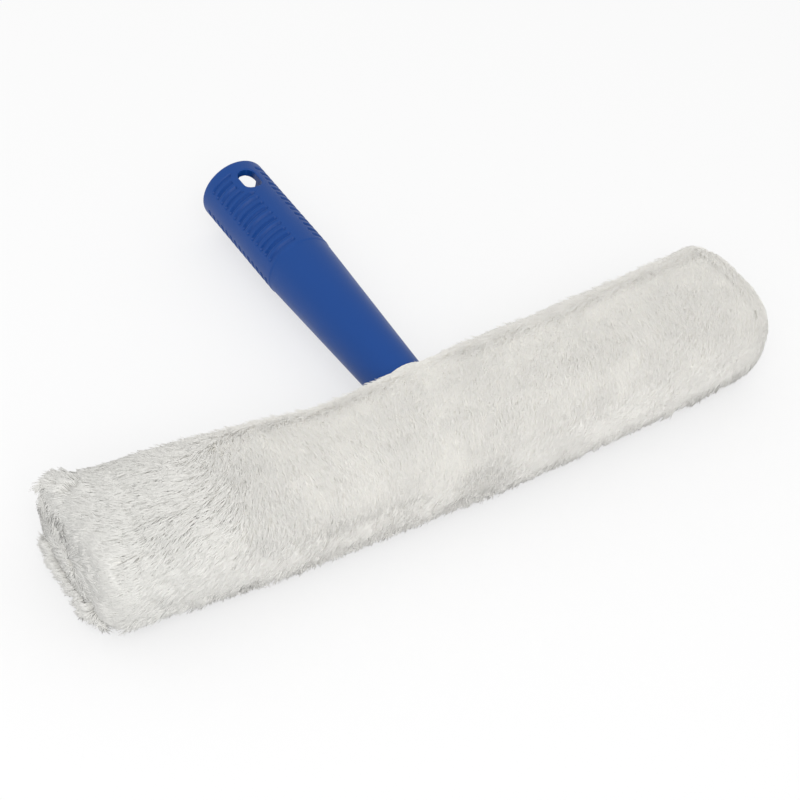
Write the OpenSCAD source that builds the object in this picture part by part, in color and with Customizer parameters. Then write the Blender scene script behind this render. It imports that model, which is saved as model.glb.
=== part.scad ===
// Window scrubber: a plush sleeve on a T-shaped holder, lying on a table.
// X runs along the crossbar, Y along the handle, Z is up.
// Every module draws about the point where the handle's axis meets the crossbar's,
// and place() then sets the origin at the bottom centre of the whole tool.

/* [Crossbar] */
// Length of the crossbar inside the sleeve
bar_length = 325; // [220:1:440]
// Width of the crossbar, along the handle
bar_width = 40; // [36:0.5:54]
// Height of the crossbar
bar_height = 22; // [20:0.5:30]
// Radius of the crossbar's long edges
bar_edge_r = 6; // [2:0.5:9]
// Radius of the crossbar's corners, seen from above
bar_corner_r = 12; // [6:0.5:16]
// Wall left round the water pockets
bar_wall = 2.4; // [1.6:0.1:4]
// Thickness of the ribs between the water pockets
rib_thickness = 1.8; // [1.2:0.1:3]
// Distance from one rib to the next
rib_pitch = 12; // [8:0.1:20]
// Thickness of the web between the upper and the lower pockets
web_thickness = 2; // [1.2:0.1:4]
// Diameter of the drain hole in each pocket
drain_d = 5; // [2:0.5:7]
// Half length of the solid block that holds the handle
block_half = 22; // [18:0.5:30]

/* [Handle] */
// Distance from the crossbar's axis to the handle's free end
handle_reach = 177.5; // [150:0.5:260]
// Diameter of the grip
grip_d = 33.9; // [31.5:0.1:40]
// Length of the grooved grip
grip_length = 62; // [50:0.5:90]
// Diameter of the neck where the handle enters the sleeve
neck_d = 24.9; // [20:0.1:28]
// How far the grip stands proud of the tapered body
grip_step = 0.35; // [0:0.05:1]
// Radius on the outer edge of the free end
mouth_edge_r = 1.4; // [0.4:0.1:3]
// Diameter of the extension pole that fits the handle
pole_d = 25; // [20:0.5:26]
// Gap all round between the pole and its socket
pole_clearance = 0.1; // [0.05:0.05:0.4]
// Depth of the pole socket
socket_depth = 72; // [40:1:100]
// Width of the ledge that stops the pole
ledge = 1.8; // [1:0.1:4]
// Wall of the hollow body past the pole socket
body_wall = 4; // [2.5:0.1:6]
// Thickness of the floor that closes the hollow body
body_floor = 12; // [6:0.5:20]

/* [Grip grooves] */
// Grooves in each of the four grooved panels
groove_count = 14; // [4:1:16]
// Distance from one groove to the next
groove_pitch = 4.05; // [3.2:0.05:5]
// Distance from the free end to the first groove
groove_start = 6.9; // [5:0.1:12]
// Radius of a groove's rounded bottom
groove_r = 1.15; // [0.8:0.05:1.5]
// Depth of a groove at its middle
groove_depth = 0.95; // [0.5:0.05:1.1]
// Half of the angle that a groove spans round the handle
groove_half_angle = 29; // [18:0.5:36]
// Angle from the hanging hole to the nearest panel's middle
panel_angle = 38; // [30:1:45]

/* [Hanging hole] */
// Width of the hole, round the handle
hole_width = 9.2; // [8.2:0.1:11]
// Length of the hole, along the handle
hole_length = 12.8; // [11:0.1:20]
// Radius of the hole's corners
hole_corner_r = 4; // [1:0.1:4]
// Distance from the free end to the hole's middle
hole_from_end = 13.6; // [11:0.1:20]
// Width of the plain border that stops the grooves round the hole
hole_border = 3.2; // [1:0.1:5]

/* [Tenon and screws] */
// Width of the tenon that the handle ends in
tenon_width = 20; // [18:0.5:24]
// Height of the tenon
tenon_height = 12; // [9:0.5:14]
// How far the tenon passes the crossbar's axis
tenon_depth = 9; // [4:0.5:14]
// Gap all round between the tenon and its mortise
tenon_clearance = 0.15; // [0.1:0.05:0.4]
// Diameter of the two fixing screws
screw_d = 4; // [3:0.1:5]
// Diameter of a screw's head
screw_head_d = 7.6; // [6:0.1:9]
// Height of a screw's head
screw_head_h = 2.4; // [1.5:0.1:3]
// Distance between the two screws
screw_spacing = 11; // [9.5:0.5:12]
// Distance of the screws from the crossbar's axis, towards the grip
screw_y = 5; // [-3:0.5:9]
// Gap round a screw's shank and head
screw_clearance = 0.15; // [0.1:0.05:0.5]

/* [Sleeve] */
// Thickness of the woven backing
fabric = 1.5; // [0.8:0.1:2.5]
// Room between the crossbar and the backing, front and back
slack_y = 1.6; // [0.5:0.1:4]
// Room between the crossbar and the backing, above and below
slack_z = 2.3; // [1:0.1:5]
// Room between the crossbar and the backing at each end
slack_x = 1.5; // [0.5:0.1:5]
// Radius of the backing's long edges
fabric_edge_r = 9; // [4:0.5:12]
// Height of the plush pile
pile = 10.4; // [6:0.1:18]
// How squarely the pile is shaped, 2 being an ellipse
pile_square = 2.7; // [2:0.1:5]
// Radius of the pile at the two ends
pile_end_r = 9.5; // [4:0.5:11]
// How far the pile's ends bow towards the grip
pile_bow = 8.5; // [0:0.5:9]
// How far the pile's middle swells to the front
pile_swell = 3; // [0:0.1:4]
// How far the pile is pressed in at the back, to the left of the neck
pile_dent = 5.5; // [0:0.1:6]
// Distance from the neck's axis to the middle of that dent
dent_x = 48; // [30:1:90]
// Half width of that dent
dent_width = 36; // [20:1:60]
// How far the pile is pressed flat where it lies on the table
pile_press = 1.2; // [0.5:0.1:3]
// Room between the neck of the handle and the sleeve's hem
neck_room = 0.4; // [0.3:0.1:1.5]
// Thickness of the hem round the neck
hem_thickness = 1.6; // [1:0.1:2.5]
// How far the hem stands out from the backing along the neck
hem_out = 4.5; // [2:0.5:8]

/* [Closure flap] */
// Length of the flap's tongue over the sleeve
tongue_length = 23; // [14:0.5:40]
// Width of the tongue
tongue_width = 27; // [18:0.5:28]
// Thickness of the hook tape and of the loop tape
tape_thickness = 1.2; // [0.6:0.1:2]
// Margin of bare fabric round the tapes
tape_margin = 2; // [1:0.5:5]
// Gap between the flap and what it closes on
flap_gap = 0.4; // [0.3:0.1:1]

/* [Hidden] */

// Gap that keeps sewn layers apart
layer_gap = 0.1;
// Overshoot of a cut past the face that it opens
past = 1;
// Steps of a rounded edge drawn as points
arc_steps = 6;
// Height of the chamfer at the pole socket's mouth
mouth_chamfer = 0.8;
// Width and depth of the cross recess in a screw's head
recess_width = 0.9;
recess_depth = 1;
// Length over which the body swells to the grip
step_length = 1.6;
// Points round the pile and rings along its middle stretch
pile_sides = 36;
pile_rings = 14;

grip_r = grip_d / 2;
neck_r = neck_d / 2;
socket_r = pole_d / 2 + pole_clearance;
grip_start = handle_reach - grip_length;
body_r = grip_r - grip_step;

// Outer size of the backing, and its distance from the two axes
fabric_y = bar_width / 2 + slack_y + fabric;
fabric_z = bar_height / 2 + slack_z + fabric;
fabric_x = bar_length / 2 + slack_x;

// Outer size of the pile
pile_x = fabric_x + layer_gap + fabric + pile;
pile_y = fabric_y + pile;
pile_z = fabric_z + pile;
rest_z = pile_z - pile_press;
front_y = -pile_y - pile_swell;
middle_y = (front_y + handle_reach) / 2;

// Place of the tongue above the sleeve, and of the fold below it
flap_x = fabric_x + flap_gap;
loop_top = fabric_z + layer_gap + tape_thickness;
hook_low = loop_top + layer_gap;
tongue_low = hook_low + tape_thickness + layer_gap;
tongue_top = tongue_low + fabric;
tongue_end = fabric_x - tongue_length;

module place() {
    translate([0, -middle_y, rest_z]) children();
}

// A rectangle with round corners, about the origin
module round_rect(w, h, r) {
    square([w - 2 * r, h], center = true);
    square([w, h - 2 * r], center = true);
    for (sx = [-1, 1], sy = [-1, 1])
        translate([sx * (w / 2 - r), sy * (h / 2 - r)]) circle(r = r, $fn = 48);
}

// A profile drawn across the crossbar, Y to the right and Z up, carried from x0 to x1
module along_x(x0, x1) {
    translate([x0, 0, 0]) rotate([90, 0, 90]) linear_extrude(x1 - x0) children();
}

// Children drawn about Z are laid along the handle's axis
module along_handle() {
    rotate([-90, 0, 0]) children();
}

// Outline of the pile

// Inset of the pile at x, which rounds its two ends
function end_inset(x) =
    let (t = max(0, (abs(x) - pile_x + pile_end_r) / pile_end_r))
    pile_end_r * (1 - sqrt(max(0, 1 - t * t)));

// Sideways place of the pile's middle at x: swollen forward at the centre, bowed back at the ends
function bow(x) = -pile_swell + pile_bow * pow(x / pile_x, 2);

// A power that keeps its sign, for the squared-off ellipse
function signed_pow(v, p) = sign(v) * pow(abs(v), p);

// Depth at x of the dent beside the neck, a bell curve
function dent(x) = pile_dent * exp(-pow((x + dent_x) / dent_width, 2));

function pile_ring(x) =
    let (inset = end_inset(x), p = 2 / pile_square)
    [for (i = [0 : pile_sides - 1])
        let (a = 360 * i / pile_sides, back = max(0, cos(a)))
        [x,
         bow(x) + (pile_y - inset) * signed_pow(cos(a), p) - dent(x) * back,
         max(-rest_z, (pile_z - inset - dent(x) * back / 2) * signed_pow(sin(a), p))]];

function pile_stations() =
    let (flat = pile_x - pile_end_r)
    concat([for (i = [0 : arc_steps - 1]) -flat - pile_end_r * cos(90 * i / arc_steps)],
           [for (i = [0 : pile_rings]) flat * (2 * i / pile_rings - 1)],
           [for (i = [1 : arc_steps]) flat + pile_end_r * sin(90 * i / arc_steps)]);

module pile_outline() {
    stations = pile_stations();
    n = pile_sides;
    rings = len(stations);
    side_faces = [for (k = [0 : rings - 2], i = [0 : n - 1])
        [k * n + i, (k + 1) * n + i, (k + 1) * n + (i + 1) % n, k * n + (i + 1) % n]];
    low_face = [for (i = [0 : n - 1]) i];
    high_face = [for (i = [n - 1 : -1 : 0]) (rings - 1) * n + i];
    polyhedron([for (x = stations) each pile_ring(x)], concat(side_faces, [low_face, high_face]));
}

// A box that takes in the whole section of the pile from x0 to x1 and z0 up
module pile_slice(x0, x1, z0 = -2 * pile_z) {
    half = 2 * pile_y;
    translate([x0, -half, z0]) cube([x1 - x0, 2 * half, 2 * pile_z - z0]);
}

// Handle

// A groove beside the angle beta, which counts from straight up towards the left end
module groove(beta) {
    rotate([0, 0, -90 - beta - groove_half_angle])
        rotate_extrude(angle = 2 * groove_half_angle, $fn = 96)
            translate([grip_r + groove_r - groove_depth, 0]) circle(r = groove_r, $fn = 32);
}

module hole_outline(margin) {
    round_rect(hole_width + 2 * margin, hole_length + 2 * margin, hole_corner_r + margin);
}

module handle_profile() {
    neck_end = bar_width / 2;
    core_start = fabric_y + body_floor;
    ledge_y = handle_reach - socket_depth;
    mouth_arc = [for (i = [0 : arc_steps]) let (a = 90 * i / arc_steps)
        [grip_r - mouth_edge_r * (1 - cos(a)), handle_reach - mouth_edge_r * (1 - sin(a))]];
    polygon(concat(
        [[0, neck_end], [neck_r, neck_end], [body_r, grip_start - step_length],
         [grip_r, grip_start]],
        mouth_arc,
        [[socket_r + mouth_chamfer, handle_reach], [socket_r, handle_reach - mouth_chamfer],
         [socket_r, ledge_y], [socket_r - ledge, ledge_y], [neck_r - body_wall, core_start],
         [0, core_start]]));
}

module hanging_hole(margin) {
    translate([0, handle_reach - hole_from_end, -grip_r - past])
        linear_extrude(2 * (grip_r + past)) hole_outline(margin);
}

module tenon(gap) {
    w = tenon_width + 2 * gap;
    h = tenon_height + 2 * gap;
    translate([-w / 2, -tenon_depth - gap, -h / 2])
        cube([w, tenon_depth + gap + bar_width / 2 + past, h]);
}

module screw_holes(d) {
    for (s = [-1, 1]) translate([s * screw_spacing / 2, screw_y, -bar_height])
        cylinder(d = d, h = 2 * bar_height, $fn = 32);
}

module handle() {
    color([0.13, 0.32, 0.60]) place() difference() {
        union() {
            difference() {
                along_handle() rotate_extrude($fn = 128) handle_profile();
                along_handle()
                    for (i = [0 : groove_count - 1], k = [0 : 3])
                        translate([0, 0, handle_reach - groove_start - i * groove_pitch])
                            groove(panel_angle + 90 * k);
            }
            intersection() {
                along_handle() translate([0, 0, grip_start]) difference() {
                    cylinder(r = grip_r, h = grip_length - mouth_edge_r, $fn = 128);
                    translate([0, 0, -past]) cylinder(r = socket_r, h = grip_length, $fn = 128);
                }
                hanging_hole(hole_border);
            }
            tenon(0);
        }
        hanging_hole(0);
        screw_holes(screw_d + 2 * screw_clearance);
    }
}

// Crossbar

pocket_length = rib_pitch - rib_thickness;
pocket_width = (bar_width - 2 * bar_wall - rib_thickness) / 2;

// Puts its children at the middle of every water pocket, two across the bar
module at_pockets() {
    first = block_half + rib_thickness;
    last = bar_length / 2 - bar_wall - rib_pitch;
    for (x = [first : rib_pitch : last], sx = [-1, 1], sy = [-1, 1])
        translate([sx * (x + pocket_length / 2), sy * (pocket_width + rib_thickness) / 2]) children();
}

module pocket_grid() {
    at_pockets() square([pocket_length, pocket_width], center = true);
}

module crossbar() {
    color([0.16, 0.36, 0.62]) place() difference() {
        intersection() {
            translate([0, 0, -bar_height / 2]) linear_extrude(bar_height)
                round_rect(bar_length, bar_width, bar_corner_r);
            along_x(-bar_length / 2, bar_length / 2) round_rect(bar_width, bar_height, bar_edge_r);
        }
        translate([0, 0, web_thickness / 2]) linear_extrude(bar_height) pocket_grid();
        translate([0, 0, -web_thickness / 2 - bar_height]) linear_extrude(bar_height) pocket_grid();
        translate([0, 0, -web_thickness]) linear_extrude(2 * web_thickness)
            at_pockets() circle(d = drain_d, $fn = 24);
        tenon(tenon_clearance);
        screw_holes(screw_d + 2 * screw_clearance);
        for (s = [-1, 1])
            translate([s * screw_spacing / 2, screw_y, bar_height / 2 - screw_head_h - screw_clearance])
                cylinder(d = screw_head_d + 2 * screw_clearance, h = screw_head_h + past, $fn = 32);
    }
}

module fixing_screws() {
    head_z = bar_height / 2 - screw_head_h;
    color([0.75, 0.76, 0.78]) place() for (s = [-1, 1])
        translate([s * screw_spacing / 2, screw_y, 0]) difference() {
            union() {
                translate([0, 0, head_z]) cylinder(d = screw_head_d, h = screw_head_h, $fn = 32);
                translate([0, 0, -bar_height / 2 + bar_wall])
                    cylinder(d = screw_d, h = head_z + bar_height / 2 - bar_wall, $fn = 32);
            }
            for (a = [0, 90]) rotate([0, 0, a]) translate([0, 0, bar_height / 2])
                cube([screw_d, recess_width, 2 * recess_depth], center = true);
        }
}

// Sleeve

module fabric_section(grow) {
    round_rect(2 * (fabric_y + grow), 2 * (fabric_z + grow), fabric_edge_r + grow);
}

module neck_hole(r) {
    along_handle() cylinder(r = r, h = pile_y + past, $fn = 96);
}

hem_r = neck_r + neck_room + hem_thickness;

module sleeve_backing() {
    color([0.86, 0.85, 0.80]) place() difference() {
        along_x(-fabric_x, fabric_x) fabric_section(0);
        along_x(-fabric_x - past, fabric_x + past) fabric_section(-fabric);
        neck_hole(hem_r + layer_gap);
    }
}

module neck_hem() {
    color([0.90, 0.89, 0.85]) place() along_handle() difference() {
        translate([0, 0, fabric_y - fabric]) cylinder(r = hem_r, h = fabric + hem_out, $fn = 96);
        translate([0, 0, fabric_y - fabric - past])
            cylinder(r = hem_r - hem_thickness, h = fabric + hem_out + 2 * past, $fn = 96);
    }
}

module end_panel() {
    color([0.86, 0.85, 0.80]) place()
        along_x(fabric_x + layer_gap, fabric_x + layer_gap + fabric) fabric_section(0);
}

module tongue_space() {
    translate([-pile_x, -tongue_width / 2 - flap_gap, fabric_z + layer_gap])
        cube([pile_x - tongue_end + flap_gap, tongue_width + 2 * flap_gap, 2 * pile]);
}

module sleeve_pile() {
    color([0.93, 0.92, 0.89]) place() difference() {
        intersection() {
            pile_outline();
            pile_slice(-fabric_x, fabric_x);
        }
        along_x(-pile_x, pile_x) fabric_section(layer_gap);
        neck_hole(hem_r + layer_gap);
        tongue_space();
    }
}

module end_panel_pile() {
    color([0.92, 0.91, 0.88]) place() difference() {
        intersection() {
            pile_outline();
            pile_slice(fabric_x + layer_gap, pile_x);
        }
        along_x(fabric_x - past, fabric_x + 2 * layer_gap + fabric) fabric_section(layer_gap);
    }
}

// Closure flap, drawn shut: it folds on the lower left edge and its tongue lies on the sleeve

module loop_tape() {
    color([0.80, 0.80, 0.78]) place()
        translate([-fabric_x + tape_margin, -tongue_width / 2 + tape_margin, fabric_z + layer_gap])
            cube([tongue_length - 2 * tape_margin, tongue_width - 2 * tape_margin, tape_thickness]);
}

module hook_tape() {
    color([0.83, 0.83, 0.82]) place()
        translate([-fabric_x + tape_margin, -tongue_width / 2 + tape_margin, hook_low])
            cube([tongue_length - 2 * tape_margin, tongue_width - 2 * tape_margin, tape_thickness]);
}

module closure_flap() {
    color([0.86, 0.85, 0.80]) place() {
        along_x(-flap_x - fabric, -flap_x) fabric_section(0);
        translate([-flap_x - fabric, -tongue_width / 2, 0]) cube([fabric, tongue_width, tongue_top]);
        translate([-flap_x - fabric, -tongue_width / 2, tongue_low])
            cube([flap_x + fabric - tongue_end, tongue_width, fabric]);
    }
}

module flap_pile() {
    color([0.92, 0.91, 0.88]) place() difference() {
        intersection() {
            pile_outline();
            union() {
                pile_slice(-pile_x, -flap_x, -fabric_z);
                translate([-flap_x - past, -tongue_width / 2, tongue_top + layer_gap])
                    cube([flap_x + past - tongue_end, tongue_width, 2 * pile]);
            }
        }
        along_x(-flap_x - fabric - layer_gap, -flap_x + past) fabric_section(layer_gap);
        translate([-flap_x - fabric - layer_gap, -tongue_width / 2 - layer_gap, 0])
            cube([fabric + layer_gap + past, tongue_width + 2 * layer_gap, tongue_top + layer_gap]);
    }
}

handle();
crossbar();
fixing_screws();
sleeve_backing();
sleeve_pile();
end_panel();
end_panel_pile();
neck_hem();
loop_tape();
closure_flap();
flap_pile();
hook_tape();
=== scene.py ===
import math

import bmesh
import bpy
import numpy as np
from mathutils import Matrix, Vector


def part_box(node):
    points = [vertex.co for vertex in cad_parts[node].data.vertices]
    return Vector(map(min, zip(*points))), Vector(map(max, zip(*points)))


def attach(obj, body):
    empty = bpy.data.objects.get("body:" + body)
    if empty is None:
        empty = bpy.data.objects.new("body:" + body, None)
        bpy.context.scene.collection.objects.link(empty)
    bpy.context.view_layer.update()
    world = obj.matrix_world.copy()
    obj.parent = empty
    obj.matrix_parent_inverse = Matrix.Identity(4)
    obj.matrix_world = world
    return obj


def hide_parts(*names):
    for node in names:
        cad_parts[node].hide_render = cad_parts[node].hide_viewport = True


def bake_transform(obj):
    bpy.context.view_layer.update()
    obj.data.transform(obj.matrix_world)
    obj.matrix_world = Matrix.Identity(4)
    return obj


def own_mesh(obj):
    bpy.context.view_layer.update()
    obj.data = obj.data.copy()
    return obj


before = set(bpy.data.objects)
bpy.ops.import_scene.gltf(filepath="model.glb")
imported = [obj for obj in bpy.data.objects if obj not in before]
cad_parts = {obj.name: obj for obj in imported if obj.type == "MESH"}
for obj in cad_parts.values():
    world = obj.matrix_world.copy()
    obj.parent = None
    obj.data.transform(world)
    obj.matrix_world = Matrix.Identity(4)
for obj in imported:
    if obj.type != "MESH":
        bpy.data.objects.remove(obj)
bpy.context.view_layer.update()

MM = 0.001

# Where the handle's axis meets the crossbar's: every piece is drawn about this point
bar_low, bar_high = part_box("crossbar")
cross_y = (bar_low.y + bar_high.y) / 2
axis_z = (bar_low.z + bar_high.z) / 2


# Handle
# One hollow polypropylene moulding: a tapered body, a grip with four panels of round-ended
# grooves, a hanging hole through both walls and a tenon that the crossbar is screwed to.

handle_low, handle_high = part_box("handle")
free_end = handle_high.y - cross_y
grip_r = (handle_high.x - handle_low.x) / 2
grip_length = 62 * MM
neck_r = 12.45 * MM
neck_y = 20 * MM
grip_step = 0.35 * MM
step_length = 1.6 * MM
mouth_edge_r = 1.4 * MM
mouth_chamfer = 0.8 * MM
socket_r = 12.6 * MM
socket_depth = 72 * MM
ledge = 1.8 * MM
body_wall = 4 * MM
core_start = 35.1 * MM
tenon_size = (20 * MM, 35 * MM, 12 * MM)
tenon_edge_r = 0.6 * MM
tenon_middle_y = 8.5 * MM
screw_clear_r = 2.15 * MM
screw_places = ((-5.5 * MM, 5 * MM), (5.5 * MM, 5 * MM))

groove_count = 14
groove_pitch = 4.05 * MM
groove_start = 6.9 * MM
groove_depth = 0.95 * MM
groove_floor = 0.55 * MM
groove_wall = 0.72 * MM
groove_half_angle = math.radians(29)
groove_panel = math.radians(38)
groove_fade = 0.5 * MM

hole_half = (4.6 * MM, 6.4 * MM)
hole_corner_r = 4 * MM
hole_from_end = 13.6 * MM
hole_border = 3.2 * MM
hole_rim = 0.6 * MM
pierced_length = 24 * MM
around_handle = 336
sharp_edge = math.radians(42)


def smooth_step(value, low, high):
    """0 below low, 1 above high, and 3t^2 - 2t^3 between them."""
    t = np.clip((value - low) / (high - low), 0, 1)
    return t * t * (3 - 2 * t)


def grid_faces(rows, columns, wrap):
    """Quads between neighbouring rows and columns of a grid, closed round its columns if wrap."""
    last = columns if wrap else columns - 1
    row, column = np.meshgrid(np.arange(rows - 1), np.arange(last), indexing="ij")
    after = (column + 1) % columns
    corners = (row * columns + column, row * columns + after,
               (row + 1) * columns + after, (row + 1) * columns + column)
    return np.stack(corners, -1).reshape(-1, 4)


def make_piece(name, points, faces, smooth=True):
    """A mesh object from an array of points and a list of face arrays, each of one face size."""
    sizes = np.concatenate([np.full(len(f), f.shape[1]) for f in faces])
    corners = np.concatenate([f.reshape(-1) for f in faces])
    mesh = bpy.data.meshes.new(name)
    mesh.vertices.add(len(points))
    mesh.vertices.foreach_set("co", np.asarray(points, np.float32).reshape(-1))
    mesh.loops.add(len(corners))
    mesh.loops.foreach_set("vertex_index", corners.astype(np.int32))
    mesh.polygons.add(len(sizes))
    starts = np.concatenate([[0], np.cumsum(sizes)[:-1]])
    mesh.polygons.foreach_set("loop_start", starts.astype(np.int32))
    mesh.polygons.foreach_set("use_smooth", np.full(len(sizes), smooth))
    mesh.update(calc_edges=True)
    piece = bpy.data.objects.new(name, mesh)
    bpy.context.scene.collection.objects.link(piece)
    return piece


def apply_modifiers(piece):
    """Replaces the piece's mesh by what its modifiers make of it."""
    evaluated = piece.evaluated_get(bpy.context.evaluated_depsgraph_get())
    finished = bpy.data.meshes.new_from_object(evaluated)
    piece.modifiers.clear()
    piece.data = finished


def combine(piece, tool, operation):
    """A Boolean of the piece with a closed tool mesh, applied; the tool is then removed."""
    step = piece.modifiers.new("cut", "BOOLEAN")
    step.operation = operation
    step.solver = "MANIFOLD"
    step.object = tool
    bpy.context.view_layer.update()
    apply_modifiers(piece)
    bpy.data.objects.remove(tool)


def prism(name, outline, low, high, axis):
    """A closed prism with an outline of 2-D points, carried along one axis from low to high."""
    count = len(outline)
    ends = [np.insert(outline, axis, at, axis=1) for at in (low, high)]
    ring = np.arange(count)
    after = (ring + 1) % count
    sides = np.stack([ring, after, after + count, ring + count], -1)
    caps = np.stack([ring[::-1], ring + count])
    piece = make_piece(name, np.concatenate(ends), [sides, caps], smooth=False)
    if axis == 1:
        piece.data.flip_normals()
    return piece


def arc_points(centre, radius, start, end, steps):
    """Points on an arc about a 2-D centre, from one angle to another in degrees."""
    turn = np.radians(np.linspace(start, end, steps))
    return np.array(centre) + radius * np.column_stack([np.cos(turn), np.sin(turn)])


def round_rectangle(half_a, half_b, radius, steps=9):
    """The outline of a rectangle with round corners about the origin, anticlockwise."""
    a, b = half_a - radius, half_b - radius
    corners = ((a, b, 0), (-a, b, 90), (-a, -b, 180), (a, -b, 270))
    arcs = [arc_points((x, y), radius, start, start + 90, steps) for x, y, start in corners]
    return np.concatenate(arcs)


def hole_distance(x, y):
    """Distance outside the hanging hole's outline, seen along its axis; negative inside."""
    reach_x = np.abs(x) - hole_half[0] + hole_corner_r
    reach_y = np.abs(y - free_end + hole_from_end) - hole_half[1] + hole_corner_r
    outside = np.hypot(np.maximum(reach_x, 0), np.maximum(reach_y, 0))
    return outside + np.minimum(np.maximum(reach_x, reach_y), 0) - hole_corner_r


def groove_cut(angle, y):
    """Depth of the grip's grooves. Each is a stadium on the unrolled grip: a flat floor round
    its centre line, a smooth wall outside that, and none within the plain border of the hole."""
    panel = (angle - groove_panel) % (math.pi / 2)
    off_middle = np.minimum(panel, math.pi / 2 - panel) * grip_r
    row = np.clip(np.round((free_end - y - groove_start) / groove_pitch), 0, groove_count - 1)
    off_row = free_end - y - groove_start - row * groove_pitch
    straight = groove_half_angle * grip_r - groove_floor - groove_wall
    distance = np.hypot(np.maximum(off_middle - straight, 0), off_row)
    cut = groove_depth * (1 - smooth_step(distance, groove_floor, groove_floor + groove_wall))
    clear = hole_distance(-grip_r * np.sin(angle), y) - hole_border
    return cut * smooth_step(clear, 0, groove_fade)


def rim_drop(x, y):
    """Depth of the quarter round that eases the hanging hole's rim."""
    near = np.clip(hole_rim - hole_distance(x, y), 0, hole_rim)
    return hole_rim - np.sqrt(hole_rim**2 - near**2)


def handle_profile():
    """(y, radius) along the outside from the neck to the mouth, and back along the bore. The rows
    stand closest along the grip, and in the bore as far as the hanging hole reaches."""
    body_rows, step_rows, grip_rows, lip_rows, bore_rows = 26, 6, 188, 7, 40
    body_end = free_end - grip_length
    body = np.column_stack([np.linspace(neck_y, body_end - step_length, body_rows),
                            np.linspace(neck_r, grip_r - grip_step, body_rows)])
    rise = np.linspace(0, 1, step_rows + 1)[1:]
    step = np.column_stack([body_end - step_length * (1 - rise),
                            grip_r - grip_step * (1 - smooth_step(rise, 0, 1))])
    grip_y = np.linspace(body_end, free_end - mouth_edge_r, grip_rows + 2)[1:-1]
    grip = np.column_stack([grip_y, np.full(grip_rows, grip_r)])
    lip_middle = (free_end - mouth_edge_r, grip_r - mouth_edge_r)
    lip = arc_points(lip_middle, mouth_edge_r, 90, 0, lip_rows)
    bore_y = np.linspace(free_end - mouth_chamfer, free_end - pierced_length, bore_rows)
    bore = np.column_stack([bore_y, np.full(bore_rows, socket_r)])
    ledge_y = free_end - socket_depth
    inside = [[free_end, socket_r + mouth_chamfer], *bore, [ledge_y, socket_r],
              [ledge_y, socket_r - ledge], [core_start, neck_r - body_wall]]
    return np.concatenate([body, step, grip, lip]), np.array(inside)


def about_handle(radius, angle, y):
    """Points about the handle's axis. Angle 0 points up and grows towards -X."""
    return np.stack([-radius * np.sin(angle), cross_y + y, axis_z + radius * np.cos(angle)], -1)


def revolve_handle():
    """Turns the profile about the handle's axis. The radius loses the grooves on the outside and
    the hole's rim on both faces of the wall, and a fan of triangles closes each end."""
    outside, inside = handle_profile()
    profile = np.concatenate([outside, inside])
    outer = np.arange(len(profile)) < len(outside)
    angle = np.linspace(0, 2 * math.pi, around_handle, endpoint=False)
    turn, y = np.meshgrid(angle, profile[:, 0])
    radius = np.repeat(profile[:, 1:], around_handle, axis=1)
    x = -radius * np.sin(turn)
    radius = np.where(outer[:, None], radius - groove_cut(turn, y) - rim_drop(x, y),
                      radius + np.where(y > free_end - pierced_length, rim_drop(x, y), 0))
    points = about_handle(radius, turn, y)
    rows = len(profile)
    faces = grid_faces(rows, around_handle, wrap=True)[:, ::-1]
    ends = np.array([[0, cross_y + neck_y, axis_z], [0, cross_y + core_start, axis_z]])
    first = np.arange(around_handle)
    after = (first + 1) % around_handle
    hub = rows * around_handle
    low_cap = np.column_stack([np.full(around_handle, hub), first, after])
    last_row = (rows - 1) * around_handle
    high_cap = np.column_stack([np.full(around_handle, hub + 1), last_row + after,
                                last_row + first])
    points = np.concatenate([points.reshape(-1, 3), ends])
    return make_piece("handle_moulding", points, [faces, low_cap, high_cap])


handle = revolve_handle()
tenon_outline = round_rectangle(tenon_size[0] / 2, tenon_size[2] / 2, tenon_edge_r, 4)
tenon_low = cross_y + tenon_middle_y - tenon_size[1] / 2
tenon = prism("tenon", tenon_outline + (0, axis_z), tenon_low, tenon_low + tenon_size[1], 1)
combine(handle, tenon, "UNION")
hole_middle = cross_y + free_end - hole_from_end
hole_outline = round_rectangle(*hole_half, hole_corner_r, 13) + (0, hole_middle)
hole = prism("hole", hole_outline, axis_z - 2 * grip_r, axis_z + 2 * grip_r, 2)
combine(handle, hole, "DIFFERENCE")
for screw_x, screw_y in screw_places:
    shank = arc_points((screw_x, cross_y + screw_y), screw_clear_r, 0, 350, 36)
    combine(handle, prism("shank", shank, axis_z - grip_r, axis_z + grip_r, 2), "DIFFERENCE")
handle.data.shade_smooth()
handle.data.set_sharp_from_angle(angle=sharp_edge)


def new_group(name, inputs, outputs):
    """A shader node group with named inputs, each with a kind and a default, and outputs."""
    group = bpy.data.node_groups.new(name, "ShaderNodeTree")
    for label, (kind, default) in inputs.items():
        socket = group.interface.new_socket(label, in_out="INPUT", socket_type=kind)
        if default is not None:
            socket.default_value = default
    for label, kind in outputs.items():
        group.interface.new_socket(label, in_out="OUTPUT", socket_type=kind)
    entry = group.nodes.new("NodeGroupInput")
    leave = group.nodes.new("NodeGroupOutput")
    return group, entry, leave


def add_node(tree, kind, links=None, **settings):
    """A node with its settings; links maps an input's name or number to a value or an output."""
    node = tree.nodes.new(kind)
    for key, value in settings.items():
        setattr(node, key, value)
    for socket, value in (links or {}).items():
        if isinstance(value, bpy.types.NodeSocket):
            tree.links.new(value, node.inputs[socket])
        else:
            node.inputs[socket].default_value = value
    return node


def maths(tree, operation, first, second=0.0):
    """The output of a Math node on one or two inputs, each a value or an output."""
    return add_node(tree, "ShaderNodeMath", {0: first, 1: second}, operation=operation).outputs[0]


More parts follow.
